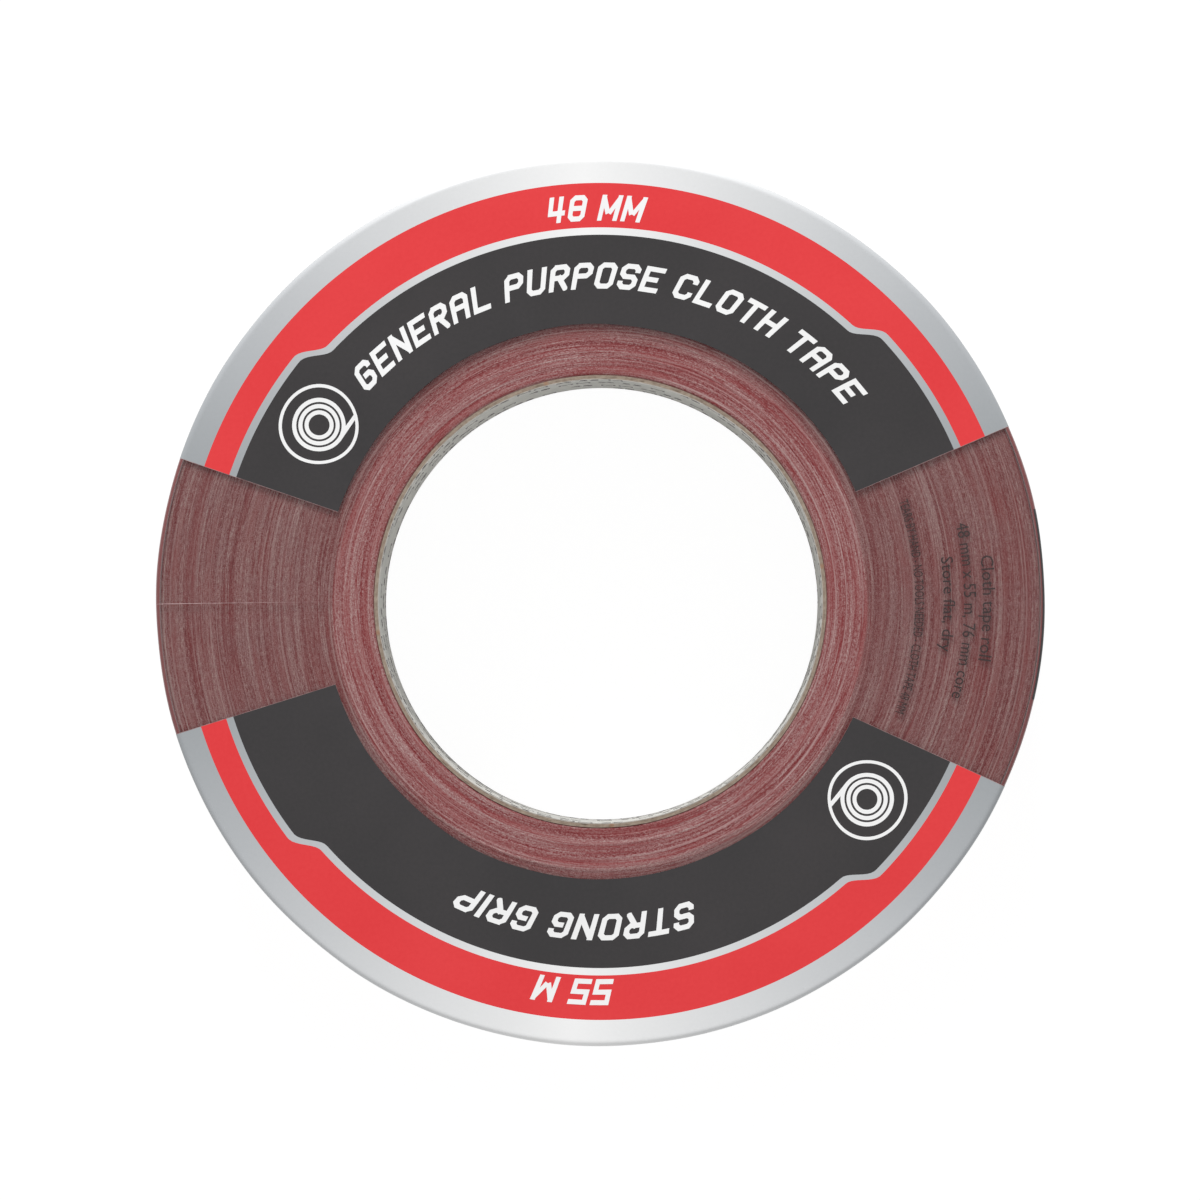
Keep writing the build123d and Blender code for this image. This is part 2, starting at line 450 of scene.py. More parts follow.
def backing_finish(name, colour_low, colour_high):
    """The red plastic backing, with the weave of the cloth showing through as faint cells."""
    material, tree, output = new_material(name)
    at = polar(tree)
    threads_round = winding.r_out * FULL_TURN / WEAVE_CROSSWISE
    lengthwise = calc(tree, "SINE", calc(tree, "MULTIPLY", at.z, FULL_TURN / WEAVE_LENGTHWISE))
    crosswise = calc(tree, "SINE", calc(tree, "MULTIPLY", calc(tree, "ARCTAN2", at.y, at.x), threads_round))
    weave = calc(tree, "MAXIMUM", lengthwise, crosswise)
    blotch = noise(tree, place(tree), 160.0, 4.0)
    colour = ramp(tree, blotch, (0.3, colour_low), (0.7, colour_high))
    solid_skin(tree, output, colour, 0.42, 0.4, Normal=bump(tree, weave, 0.01 * MM, 0.3))
    return material


def kraft_finish():
    """Brown paper board, cut across: fibres and small flecks, and a few faint ticks of glue at the rim."""
    material, tree, output = new_material("kraft_board")
    at = polar(tree)
    fibres = streaks(tree, at, 2.5, 0.09 * MM, 5.0, 4.0)
    flecks = noise(tree, place(tree), 1400.0, 4.0, 0.6)
    level = calc(tree, "MULTIPLY_ADD", flecks, 0.5, calc(tree, "MULTIPLY", fibres, 0.5))
    colour = ramp(
        tree, level, (0.30, srgb(118, 100, 84)), (0.5, srgb(150, 134, 119)), (0.72, srgb(178, 163, 146))
    )
    for deg in RIM_TICKS_DEG:
        near = remap(tree, towards(tree, at, deg), np.cos(radians(RIM_TICK_HALF_DEG)), 1.0, 0.0, 0.6)
        colour = blend(tree, near, colour, srgb(160, 116, 84))
    solid_skin(tree, output, colour, 0.85, Normal=bump(tree, level, 0.05 * MM, 0.7))
    return material


def liner_finish():
    """Pale grey paper in the bore, with soft fibres, a faint darkening along its helical joint, and the
    board's colour at its cut rims."""
    material, tree, output = new_material("liner_paper")
    at = polar(tree)
    fibres = noise(tree, place(tree), 900.0, 5.0, 0.6)
    cloud = noise(tree, place(tree), 70.0, 3.0)
    level = calc(tree, "MULTIPLY_ADD", fibres, 0.4, calc(tree, "MULTIPLY", cloud, 0.6))
    colour = ramp(
        tree, level, (0.32, srgb(200, 200, 196)), (0.5, srgb(216, 215, 210)), (0.7, srgb(228, 226, 220))
    )
    climb = calc(tree, "SUBTRACT", turns_about(tree, at), calc(tree, "DIVIDE", at.z, LINER_HELIX_RISE))
    on_joint = remap(tree, calc(tree, "PINGPONG", climb, 0.5), 0.0, 0.002, 0.35, 0.0)
    colour = blend(tree, on_joint, colour, srgb(150, 146, 138))
    rim_start, rim_full = [(liner.z_high - liner.z_low) / 2 - depth for depth in LINER_RIM]
    on_rim = remap(tree, height_from_middle(tree, at), rim_start, rim_full, 0.0, 0.55)
    colour = blend(tree, on_rim, colour, srgb(138, 127, 114))
    solid_skin(tree, output, colour, 0.7, Normal=bump(tree, fibres, 0.03 * MM, 0.4))
    return material


def film_finish():
    """Clear shrink film: lets the tape show through, a little dulled, with a weak haze and a soft gloss. In
    the folds it lies tight on the tape's edge, so there it takes on the tape's red and shows little else."""
    material, tree, output = new_material("clear_film")
    at = polar(tree)
    outwards = remap(tree, at.r, fold_centre_r, backing.r_out - FOLD_INSET)
    upwards = remap(tree, height_from_middle(tree, at), half_wall - FOLD_R, half_wall + FOLD_R / 2)
    in_fold = calc(tree, "MULTIPLY", outwards, upwards)
    cloud = noise(tree, place(tree), 110.0, 3.0)
    haze = remap(tree, cloud, 0.3, 0.7, *FILM_HAZE)
    gloss = add(tree, "ShaderNodeFresnel", {"IOR": 1.45}).outputs[0]
    share = calc(tree, "ADD", haze, calc(tree, "MULTIPLY", gloss, 0.25))
    share = calc(tree, "MAXIMUM", share, calc(tree, "MULTIPLY", in_fold, FOLD_COVER))
    clear = add(tree, "ShaderNodeBsdfTransparent", {0: FILM_TINT}).outputs[0]
    grain = noise(tree, place(tree), 700.0, 2.0)
    skin = add(
        tree,
        "ShaderNodeBsdfPrincipled",
        {
            "Base Color": blend(tree, in_fold, srgb(176, 168, 168), srgb(132, 80, 80)),
            "Roughness": 0.28,
            "Specular IOR Level": 0.2,
            "Normal": bump(tree, grain, 0.01 * MM, 0.15),
        },
    ).outputs[0]
    mixed = add(tree, "ShaderNodeMixShader", {0: share, 1: clear, 2: skin}).outputs[0]
    tree.links.new(mixed, output.inputs[0])
    return material


def seam_finish():
    """The welded edge of the film: paler than the film, and nearly opaque. The same pale finish paints the
    highlights at the panels' cut ends.
    """
    material, tree, output = new_material("film_seam_and_edge_highlight")
    beads = noise(tree, place(tree), 900.0, 3.0)
    colour = ramp(tree, beads, (0.35, srgb(146, 108, 108)), (0.65, srgb(176, 144, 143)))
    solid_skin(tree, output, colour, 0.35)
    return material


def ink_finish(name, low, high, roughness=0.45, shine=0.3):
    """A printed ink: nearly even, with a soft mottle and a fine screen grain under a satin skin."""
    material, tree, output = new_material(name)
    cloud = noise(tree, place(tree), 45.0, 3.0)
    grain = noise(tree, place(tree), 1500.0, 2.0)
    level = calc(tree, "MULTIPLY_ADD", grain, 0.35, calc(tree, "MULTIPLY", cloud, 0.65))
    colour = ramp(tree, level, (0.35, low), (0.65, high))
    solid_skin(tree, output, colour, roughness, shine, Normal=bump(tree, grain, 0.006 * MM, 0.25))
    return material


def silver_finish(name, centre_deg, half_span_deg):
    """Silver ink with a painted reflection: nearly white at the panel's centre, cooler grey at its ends."""
    material, tree, output = new_material(name)
    at = polar(tree)
    away = calc(tree, "ARCCOSINE", calc(tree, "MINIMUM", towards(tree, at, centre_deg), 1.0))
    flake = noise(tree, place(tree), 2200.0, 1.0)
    share = weighed(tree, flake, 0.05, calc(tree, "DIVIDE", away, radians(half_span_deg)))
    # Painted reflection: the silver is lightest at the panel's centre and greyer towards its ends.
    colour = ramp(tree, share, *[(position, srgb(*grey)) for position, grey in SILVER_SHEEN_STOPS])
    solid_skin(tree, output, colour, 0.38, 0.3, Normal=bump(tree, flake, 0.005 * MM, 0.2))
    return material


# ==== the core ====


def ply_loop(r_in, r_out, z_low, z_high, rng, rough):
    """Points round a paper tube's section: up the outside, in over the rim, down the bore and back. The
    two rims stray up and down by a sum of random waves, as paper does where a blade cut it."""
    angles = np.linspace(0, FULL_TURN, ROUND_COLUMNS, endpoint=False)
    up = np.linspace(0, 1, CORE_ROWS)
    across = np.linspace(0, 1, 4)[1:-1]
    share = np.concatenate([up, np.ones(2), up[::-1], np.zeros(2)])[:, None]
    outwards = np.concatenate([np.ones(CORE_ROWS), 1 - across, np.zeros(CORE_ROWS), across])[:, None]
    rims = [rough * wave_sum(waves(rng, 24, 9, 150, 0, 1), 0, angles) for _ in range(2)]
    low, high = z_low + rims[0], z_high + rims[1]
    z = low + share * (high - low)
    r = r_in + outwards * (r_out - r_in)
    return r, angles, z


def paper_tubes():
    """The liner, with its helical joint as a shallow groove, and the two kraft plies."""
    rng = np.random.default_rng(SEED + 1)
    kraft = kraft_finish()
    r, angles, z = ply_loop(liner.r_in, liner.r_out, liner.z_low, liner.z_high, rng, 0.03 * MM)
    climb = angles / FULL_TURN - z / LINER_HELIX_RISE
    from_joint = np.abs(climb - np.round(climb)) * LINER_HELIX_RISE
    groove = 0.04 * MM * np.exp(-((from_joint / (0.8 * MM)) ** 2))
    bore_side = r < (liner.r_in + liner.r_out) / 2
    mesh = loop_mesh("bore_liner", cylindrical(r + groove * bore_side, angles, z), True)
    piece(mesh, liner_finish(), "liner_paper", "core_liner")
    for name, ply in {"inner": inner_ply, "outer": outer_ply}.items():
        r, angles, z = ply_loop(ply.r_in, ply.r_out, ply.z_low, ply.z_high, rng, 0.04 * MM)
        mesh = loop_mesh(f"{name}_kraft_ply", cylindrical(r, angles, z), True)
        piece(mesh, kraft, "kraft_paper", f"core_{name}_ply")


# ==== the wound tape ====

DIP_DEG = 276  # where the turns near the core dip inwards
DIP_HALF_WIDTH_DEG = 34
DIP_REACH = 9 * MM
DIP_RINGS = 7  # how deep the dip is, in rings of points


def drawn_out_noise(rng, rings, columns, width_rings, length_columns):
    """White noise made smooth by multiplying its spectrum with a bell curve, narrow along the turns and
    wide across them, then scaled to a spread of one."""
    spectrum = np.fft.fft2(rng.normal(size=(rings, columns)))
    across = np.fft.fftfreq(rings)[:, None] * width_rings
    along = np.fft.fftfreq(columns)[None, :] * length_columns
    smooth = np.fft.ifft2(spectrum * np.exp(-2 * pi * (across**2 + along**2))).real
    return smooth / smooth.std()


def face_relief(rng, radii, angles):
    """How proud each point of a tape face stands, from -1 to 1 or so: broad bands and fine streaks along
    the turns. Near the core, on the lower side, the turns dip inwards in a shallow wave."""
    bands = drawn_out_noise(rng, TAPE_RINGS, TAPE_COLUMNS, 9, 70)
    fine = drawn_out_noise(rng, TAPE_RINGS, TAPE_COLUMNS, 2.4, 26)
    single = drawn_out_noise(rng, TAPE_RINGS, TAPE_COLUMNS, 0.9, 12)
    relief = 0.45 * bands + 0.6 * fine + 0.45 * single
    from_dip = np.angle(np.exp(1j * (angles - radians(DIP_DEG)))) / radians(DIP_HALF_WIDTH_DEG)
    near_core = np.exp(-(((radii - radii[0]) / DIP_REACH)[:, None] - 0.35) ** 2 * 3)
    shift = DIP_RINGS * np.exp(-(from_dip**2))[None, :] * near_core
    source = np.clip(np.arange(TAPE_RINGS)[:, None] + shift, 0, TAPE_RINGS - 1)
    low = np.floor(source).astype(int)
    high = np.minimum(low + 1, TAPE_RINGS - 1)
    share = source - low
    taken = [np.take_along_axis(relief, rows, axis=0) for rows in (low, high)]
    return taken[0] * (1 - share) + taken[1] * share


def wound_tape():
    """All the turns but the last as one skin. Its section runs up the outside, in over the upper face, down
    at the core and out over the lower face; both faces are height fields over radius and angle."""
    rng = np.random.default_rng(SEED + 2)
    angles = np.linspace(0, FULL_TURN, TAPE_COLUMNS, endpoint=False)
    radii = np.linspace(winding.r_in, winding.r_out - TAPE_PITCH, TAPE_RINGS)
    upper = face_relief(rng, radii, angles)
    lower = face_relief(rng, radii, angles)
    soft_edge = np.minimum(1, (TAPE_RINGS - 1 - np.arange(TAPE_RINGS)) / 4)[:, None]
    crease = CREASE_DEPTH * np.exp(-(((radii - radii[0]) / CREASE_W) ** 2))[:, None]
    z_upper = winding.z_high + RELIEF_H * np.clip(upper, -2.5, 2.5) * soft_edge - crease
    z_lower = winding.z_low - RELIEF_H * np.clip(lower, -2.5, 2.5) * soft_edge + crease
    r = np.concatenate([radii[::-1], radii])[:, None]
    z = np.concatenate([z_upper[::-1], z_lower])
    mesh = loop_mesh("wound_tape", cylindrical(r, angles, z), True)
    proud = mesh.attributes.new("proud", "FLOAT", "POINT")
    level = np.concatenate([upper[::-1], lower]) * PROUD_SPREAD + PROUD_MIDDLE
    proud.data.foreach_set("value", level.astype(np.float32).ravel())
    piece(mesh, tape_edge_finish(), "tape_edge", "tape_winding")


def last_turn():
    """Finishes for the three layers of the last turn, whose CAD shapes stay."""
    layers = {
        "last_turn_adhesive": ink_finish("adhesive_edge", srgb(150, 104, 104), srgb(166, 124, 122), 0.5),
        "last_turn_cloth": ink_finish("cloth_edge", srgb(176, 150, 148), srgb(196, 172, 170), 0.8, 0.1),
        "last_turn_backing": backing_finish("red_backing", srgb(132, 30, 34), srgb(150, 40, 43)),
    }
    for node, material in layers.items():
        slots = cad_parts[node].data.materials
        slots.clear()
        slots.append(material)


# ==== the sleeve ====


def clear_sleeve():
    """The clear film as one ring: its section is the whole folded line, outside and inside."""
    angles = np.linspace(0, FULL_TURN, ROUND_COLUMNS, endpoint=False)
    stations = film_stations()[:, None]
    mesh = film_layer("clear_sleeve", stations, angles, 0, FILM_T - INK_T, True)
    piece(mesh, film_finish(), "clear_film", "sleeve_film")


def seam_bead(weld_and_edge_highlight):
    """The welded edge where the film's two ends overlap: a low ridge along the film's section, wide at the
    outside of the roll and narrowing towards the shrunk edge."""
    stations = film_stations()[:, None]
    narrowing = 1 - 0.75 * np.clip((np.abs(stations) - half_wall) / (lip_station - half_wall), 0, 1)
    half_angle = SEAM_W / 2 / film_r * narrowing
    tilt = radians(SEAM_TILT_DEG) * np.abs(stations) / lip_station
    across = np.linspace(-1, 1, 5)[None, :]
    angles = radians(SEAM_DEG) + tilt + half_angle * across
    crown = FILM_T - INK_T + SEAM_H * (1 - across**2) + 0.004 * MM
    mesh = film_layer("sleeve_seam", stations, angles, FILM_T / 2, crown)
    piece(mesh, weld_and_edge_highlight, "clear_film")

# ==== the print ====


def panel_layout(panel):
    """Angles and edges of one printed panel, from its CAD areas."""
    red = about_axis(f"{panel}_front_red_band")
    line = about_axis(f"{panel}_front_silver_line")
    field = about_axis(f"{panel}_front_black_field")
    border = about_axis(f"{panel}_front_silver_border")
    stripe = about_axis(f"{panel}_front_wall_stripe")
    return SimpleNamespace(
        centre_deg=(red.deg_from + red.deg_to) / 2,
        half_span_deg=(red.deg_to - red.deg_from) / 2,
        silver_in=red.r_out,
        red_in=red.r_in,
        line_in=line.r_in,
        field_in=field.r_in,
        step=field.r_out - line.r_in,
        silver_end=border.z_low,
        stripe_end=stripe.z_low,
    )


STEP_DEG = (44.6, 49.3)  # from a panel's centre, where the inner edge of the red band rises
INFO_FOLD_SHARE = 0.62  # how far round each fold the information panel reaches


def stepped(radius, step, from_centre_deg):
    """A radius that rises by step near both ends of a panel, along a cubic ease between the two levels."""
    share = np.clip((np.abs(from_centre_deg) - STEP_DEG[0]) / (STEP_DEG[1] - STEP_DEG[0]), 0, 1)
    return radius + step * share * share * (3 - 2 * share)


def print_patch(name, near, far, angles_deg, side, material, slot, node):
    """A printed area between two edges, which are stations, or one station for each angle. Its surface is
    the film's, carried a little further out, so the ink lies on the film everywhere."""
    near, far = np.broadcast_arrays(near, far, angles_deg)[:2]
    rows = 2 + int(np.abs(far - near).max() / PRINT_ROW_STEP)
    share = np.linspace(0, 1, rows)[:, None]
    stations = near + share * (far - near)
    mesh = film_layer(name, stations * side, np.radians(angles_deg), FILM_T / 2, FILM_T)
    if side < 0:
        mesh.flip_normals()
    piece(mesh, material, slot, node)


def panel_print(panel, red, black):
    """All the printed areas of one panel: on each face a silver border that folds over to the wall, a red
    band, a thin silver line, and a black field; on the wall, red stripes and a black field."""
    plan = panel_layout(panel)
    columns = 1 + round(2 * plan.half_span_deg / PRINT_COLUMN_DEG)
    turned = np.linspace(-plan.half_span_deg, plan.half_span_deg, columns)
    angles = plan.centre_deg + turned
    silver = silver_finish(f"{panel}_silver_ink", plan.centre_deg, plan.half_span_deg)
    silver_in = station_of_radius(plan.silver_in)
    red_in = station_of_radius(stepped(plan.red_in, plan.step, turned))
    line_in = station_of_radius(stepped(plan.line_in, plan.step, turned))
    field_in = station_of_radius(plan.field_in)
    silver_end = station_of_height(plan.silver_end)
    stripe_end = station_of_height(plan.stripe_end)
    areas = {
        "silver_border": (silver_end, silver_in, silver, "silver_ink"),
        "red_band": (silver_in, red_in, red, "red_ink"),
        "silver_line": (red_in, line_in, silver, "silver_ink"),
        "black_field": (line_in, field_in, black, "black_ink"),
        "wall_stripe": (stripe_end, silver_end, red, "red_ink"),
    }
    for face, side in {"front": 1, "back": -1}.items():
        for area, (near, far, material, slot) in areas.items():
            name = f"{panel}_{face}_{area}"
            print_patch(f"printed_{name}", near, far, angles, side, material, slot, name)
    name = f"{panel}_wall_black_field"
    print_patch(f"printed_{name}", -stripe_end, stripe_end, angles, 1, black, "black_ink", name)


def panel_end_highlights(panel, weld_and_edge_highlight):
    """The cut ends of a panel: at each, a thin pale line along the whole printed section, a painted
    highlight on the cut edge.
    """
    plan = panel_layout(panel)
    reach = station_of_radius(plan.field_in)
    stations = film_stations()
    stations = stations[np.abs(stations) < reach]
    stations = np.concatenate([[-reach], stations, [reach]])[:, None]
    for number, side in enumerate((-1, 1), 1):
        middle = radians(plan.centre_deg + side * plan.half_span_deg)
        angles = middle + PANEL_END_W / film_r * np.array([[-0.5, 0.0, 0.5]])
        # Painted highlight: a pale hair standing on each cut end.
        mesh = film_layer(f"{panel}_panel_end_{number}", stations, angles, FILM_T / 2, FILM_T + PANEL_END_H)
        piece(mesh, weld_and_edge_highlight, "clear_film")


def info_print(black):
    """The black information panel on the wall, which reaches up into both folds."""
    columns = 1 + round((info.deg_to - info.deg_from) / PRINT_COLUMN_DEG)
    angles = np.linspace(info.deg_from, info.deg_to, columns)
    reach = half_wall + INFO_FOLD_SHARE * bend_length
    print_patch("printed_info_panel", -reach, reach, angles, 1, black, "black_ink", "info_panel")


# ==== lettering ====

# Squared capitals as strokes on a grid, six units high: each pair of digits is a point, x then y.
GLYPHS = {
    "4": ("36 30", "06 02 42"),
    "5": ("46 06 03 43 40 00",),
    "8": ("26 06 00 20", "26 46 40 20", "03 43"),
    "A": ("00 06 46 40", "03 43"),
    "C": ("45 46 06 00 40 41",),
    "E": ("46 06 00 40", "03 33"),
    "G": ("45 46 06 00 40 43 23",),
    "H": ("06 00", "46 40", "03 43"),
    "I": ("06 00",),
    "L": ("06 00 40",),
    "M": ("06 00", "56 50", "06 22", "56 32"),
    "N": ("06 00", "46 40", "06 40"),
    "O": ("26 06 00 20", "26 46 40 20"),
    "P": ("00 06 26", "16 46 43 03"),
    "R": ("00 06 26", "16 46 43 03", "23 40"),
    "S": ("45 46 06 03 43 40 00 01",),
    "T": ("06 46", "26 20"),
    "U": ("06 00 40 46",),
    "X": ("00 46", "06 40"),
}
CHAMFERED = set("8ACGOPRSU")  # letters with cut corners
GRID_H = 6  # this and the next four lengths are in grid units
STROKE = 1.42
CHAMFER = 0.85
LETTER_GAP = 1.15
WORD_GAP = 3.2
SLANT = 0.26  # how far letters lean, per unit of height
SAME_POINT = 1e-3  # points of an outline closer together than this are one point
SLICE = 1.3 * MM  # width of the slices in which letters follow the wall
SAME_PLACE = 0.002 * MM  # and points of a slice closer together than this are one point


def chamfered(line, cut):
    """A line whose corners each become two points, one cut before the corner and one cut after it."""
    steps = np.diff(line, axis=0)
    steps /= np.linalg.norm(steps, axis=1)[:, None]
    corners = np.stack([line[1:-1] - cut * steps[:-1], line[1:-1] + cut * steps[1:]], axis=1)
    return np.vstack([line[:1], corners.reshape(-1, 2), line[-1:]])


def stroke_outline(line, half):
    """The outline of a stroke, anticlockwise: its line moved sideways by half to either side, with mitred
    corners, and square ends half beyond its own."""
    steps = np.diff(line, axis=0)
    steps /= np.linalg.norm(steps, axis=1)[:, None]
    before = np.vstack([steps[:1], steps])
    after = np.vstack([steps, steps[-1:]])
    ends = np.zeros_like(line)
    ends[0], ends[-1] = -half * steps[0], half * steps[-1]
    mean = before + after
    sideways = np.stack([-mean[:, 1], mean[:, 0]], axis=1)
    sideways *= half / (1 + (before * after).sum(axis=1))[:, None]
    return np.vstack([line + ends - sideways, (line + ends + sideways)[::-1]])


def cut_off(outline, axis, bound, side):
    """The part of an outline above a bound on one axis, or below it for a side of -1."""
    depths = side * (outline[:, axis] - bound)
    kept = []
    next_points = np.roll(outline, -1, axis=0)
    for here, there, depth, next_depth in zip(outline, next_points, depths, np.roll(depths, -1)):
        if depth >= 0:
            kept.append(here)
        if depth * next_depth < 0:
            kept.append(here + (there - here) * depth / (depth - next_depth))
    return np.array(kept)


def block_outlines(words):
    """The outlines of squared letters, one after the other, leaning to the right."""
    outlines = []
    cursor = 0.0
    for letter in words:
        if letter == " ":
            cursor += WORD_GAP
            continue
        lines = [np.array([[int(x), int(y)] for x, y in stroke.split()], float) for stroke in GLYPHS[letter]]
        wide = max(line[:, 0].max() for line in lines)
        for line in lines:
            if letter in CHAMFERED and len(line) > 2:
                line = chamfered(line, CHAMFER)
            outline = stroke_outline(line, STROKE / 2)
            for axis, reach in enumerate((wide, GRID_H)):
                outline = cut_off(outline, axis, -STROKE / 2, 1)
                outline = cut_off(outline, axis, reach + STROKE / 2, -1)
            outline[:, 0] += cursor + SLANT * outline[:, 1]
            outlines.append(outline)
        cursor += wide + STROKE + LETTER_GAP
    return outlines


def flat_shape(outlines):
    """The union of outlines as a closed flat mesh, one thick: triangles inside any outline, the same below,
    and a wall along each edge that has a triangle on one side only."""
    counts = np.cumsum([0] + [len(outline) for outline in outlines])
    faces = [list(range(first, last)) for first, last in zip(counts[:-1], counts[1:])]
    corners = [Vector(point) for point in np.concatenate(outlines)]
    found = delaunay_2d_cdt(corners, [], faces, 0, SAME_POINT)
    points = np.array(found[0])
    inside = np.array([triangle for triangle, sources in zip(found[2], found[5]) if sources])
    edges = np.concatenate([inside[:, [0, 1]], inside[:, [1, 2]], inside[:, [2, 0]]])
    count = len(points)
    one_sided = ~np.isin(edges[:, 0] * count + edges[:, 1], edges[:, 1] * count + edges[:, 0])
    rim = edges[one_sided]
    walls = np.stack([rim[:, 0], rim[:, 1], rim[:, 1] + count, rim[:, 0] + count], axis=1)
    low = np.column_stack([points, np.zeros(count)])
    high = np.column_stack([points, np.ones(count)])
    faces = (inside + count).tolist() + inside[:, ::-1].tolist() + walls.tolist()
    mesh = bpy.data.meshes.new("letters")
    mesh.from_pydata(np.concatenate([low, high]).tolist(), [], faces)
    return cleaned(mesh)


def block_text(words):
    """Squared letters as a closed flat mesh, one thick."""
    return flat_shape(block_outlines(words))


def plain_text(words):
    """Small plain letters as a closed flat mesh, one thick."""
    curve = bpy.data.curves.new("letters", "FONT")
    curve.body = words
    curve.resolution_u = 2
    curve.extrude = 0.5
    holder = bpy.data.objects.new("letters", curve)
    bpy.context.scene.collection.objects.link(holder)
    bpy.context.view_layer.update()
    mesh = bpy.data.meshes.new_from_object(holder.evaluated_get(bpy.context.evaluated_depsgraph_get()))
    bpy.data.objects.remove(holder)
    return cleaned(mesh)


def cleaned(mesh):
    """The mesh with doubled and loose points merged away, its faces outwards, all triangles."""
    shape = bmesh.new()
    shape.from_mesh(mesh)
    bmesh.ops.remove_doubles(shape, verts=shape.verts, dist=SAME_POINT / 10)
    bmesh.ops.delete(shape, geom=[v for v in shape.verts if not v.link_faces], context="VERTS")
    bmesh.ops.recalc_face_normals(shape, faces=shape.faces)
    bmesh.ops.triangulate(shape, faces=shape.faces)
    shape.to_mesh(mesh)
    shape.free()
    return mesh


def mesh_points(mesh):
    """The places of a mesh's points, as an array of rows."""
    points = np.empty(len(mesh.vertices) * 3)
    mesh.vertices.foreach_get("co", points)
    return points.reshape(-1, 3)


def sliced(mesh, width):
    """A centred mesh cut by upright planes, SLICE apart along its line, so that it can follow a curve."""
    shape = bmesh.new()
    shape.from_mesh(mesh)
    for cut in np.arange(SLICE - width / 2, width / 2, SLICE):
        geometry = [*shape.verts, *shape.edges, *shape.faces]
        plane = {"plane_co": (cut, 0, 0), "plane_no": (1, 0, 0)}
        bmesh.ops.bisect_plane(shape, geom=geometry, dist=SAME_PLACE, **plane)
    bmesh.ops.remove_doubles(shape, verts=shape.verts, dist=SAME_PLACE)
    bmesh.ops.dissolve_degenerate(shape, edges=shape.edges, dist=SAME_PLACE)
    bmesh.ops.triangulate(shape, faces=shape.faces)
    shape.to_mesh(mesh)
    shape.free()
    return mesh


def fitted(mesh, cap, width):
    """The mesh scaled to a width and a height, centred and standing on its line, and still one thick."""
    points = mesh_points(mesh)
    points = (points - points.min(axis=0)) / (points.max(axis=0) - points.min(axis=0))
    points = (points - np.array([0.5, 0, 0])) * np.array([width, cap, 1])
    mesh.vertices.foreach_set("co", points.ravel())
    return mesh


def lay(name, mesh, to_points, material, slot):
    """A flat mesh laid on a surface: to_points turns its distances along and above the line, and the share
    of its thickness, into places."""
    mesh.vertices.foreach_set("co", to_points(*mesh_points(mesh).T).ravel())
    mesh.update()
    mesh.name = name
    piece(mesh, material, slot)


def on_face(baseline_r, centre_deg, cap, side=1, base=FILM_T):
    """Letters on a face, their tops outwards, read clockwise as seen from outside: the distance along the
    line becomes an angle at the letters' middle radius."""

    def to_points(along, above, thick):
        angle = radians(centre_deg) - side * along / (baseline_r + cap / 2)
        station = station_of_radius(baseline_r + above)
        return film_point(side * station, angle, base + (2 * thick - 1) * LETTER_T)

    return to_points


def on_wall(middle_z, centre_deg, cap):
    """Letters on the wall, upright: the distance along the line becomes an angle."""

    def to_points(along, above, thick):
        angle = radians(centre_deg) + along / roll_r
        station = station_of_height(middle_z - cap / 2 + above)
        return film_point(station, angle, FILM_T + (2 * thick - 1) * LETTER_T)

    return to_points


def in_bore(baseline_z, centre_deg):
    """Letters on the liner, read from inside the bore, cut off at its rim."""

    def to_points(along, above, thick):
        angle = radians(centre_deg) - along / liner.r_in
        r = liner.r_in - (2 * thick - 1) * LETTER_T
        return cylindrical(r, angle, np.minimum(baseline_z + above, liner.z_high))

    return to_points


PANEL_WORDS = {
    "upper": SimpleNamespace(
        size="48 MM",
        size_deg=90.5,
        size_r=67.6 * MM,
        size_width=17.2 * MM,
        line="GENERAL PURPOSE CLOTH TAPE",
        line_deg=87.95,
        line_span_deg=100.3,
        badge_deg=147.9,
    ),
    "lower": SimpleNamespace(
        size="55 M",
        size_deg=266.0,
        size_r=67.1 * MM,
        size_width=14.2 * MM,
        line="STRONG GRIP",
        line_deg=265.5,
        line_span_deg=43.2,
        badge_deg=323.4,
    ),
}
SIZE_CAP = 4.46 * MM
LINE_CAP = 4.5 * MM
LINE_BASE_R = 53.7 * MM
WALL_LINES = (  # words, letter height, width, and height above the middle of the wall
    ("GENERAL PURPOSE CLOTH TAPE", 8.0 * MM, 150 * MM, 5.0 * MM),
    ("48 MM X 55 M", 5.5 * MM, 52 * MM, -7.5 * MM),
)
WINDOW_LINES = (  # words, middle radius, letter height, angle of the middle, and angle covered
    ("Cloth tape roll", 66.4 * MM, 2.9 * MM, -1.0, 15.6),
    ("48 mm x 55 m, 76 mm core", 63.3 * MM, 2.5 * MM, -1.5, 27.5),
    ("Store flat, dry", 59.6 * MM, 2.7 * MM, -0.5, 15.6),
    ("TEARS BY HAND - NO TOOLS NEEDED - CLOTH TAPE 48 MM", 54.8 * MM, 1.6 * MM, -1.0, 39.0),
)
INFO_LINES = ("CLOTH TAPE", "WIDTH 48 MM", "LENGTH 55 M", "CORE 76 MM", "TEARS BY HAND")
INFO_CAP = 2.6 * MM
INFO_PITCH = 6.2 * MM
INFO_LETTER_W = 0.72 * INFO_CAP
BADGE_R = 57.0 * MM
BADGE_RINGS = ((6.6, 0.55), (4.25, 0.7), (3.2, 0.7), (2.15, 0.7))  # mean radius and width, in mm
BADGE_TAIL = 4.7  # mm from the middle of the badge to the end of the loose tape
BADGE_STEPS = 33  # points along each half circle
LINER_WORDS = "48 MM X 55 M"
LINER_GAP = " " * 9
LINER_GROUPS = 7
LINER_CAP = 4.4 * MM
LINER_ROW_DEPTHS = (4.3 * MM, 18 * MM, 33 * MM, 46 * MM)  # from the rim down to the foot of the letters
LINER_ROW_SHIFT_DEG = 40  # from each row to the next
LINER_FILL = 0.95  # share of the bore's round that a row of letters fills


